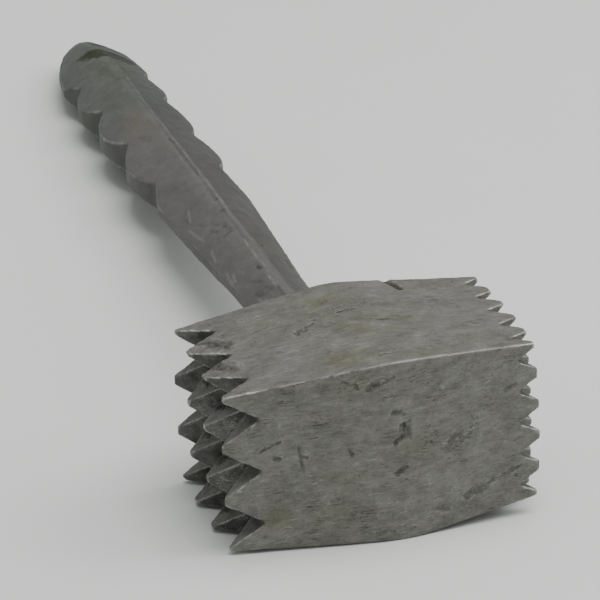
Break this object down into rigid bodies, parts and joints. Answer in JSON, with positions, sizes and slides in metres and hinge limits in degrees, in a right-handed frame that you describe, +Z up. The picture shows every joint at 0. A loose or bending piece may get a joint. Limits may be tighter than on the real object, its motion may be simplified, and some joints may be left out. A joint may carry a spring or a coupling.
{
  "type": "meat tenderiser mallet",
  "caption": "Cast aluminium meat mallet with a square head, coarse and fine pyramid teeth on its two ends, and a scalloped finger-grip handle, lying at rest",
  "frame": {"origin": "on the surface the mallet lies on, under the centre of its bounding box", "axes": "+Z up from the surface, +Y from the head towards the end of the handle, +X from the coarse teeth towards the fine teeth"},
  "size_m": [0.0702, 0.2828, 0.0408],
  "materials": {
    "head_casting": "worn satin",
    "handle_casting": "worn matte",
    "stud_steel": "plain"
  },
  "bodies": {
    "root": {"head": "head_casting", "handle": "handle_casting", "threaded_stud": "stud_steel"}
  },
  "joints": []
}
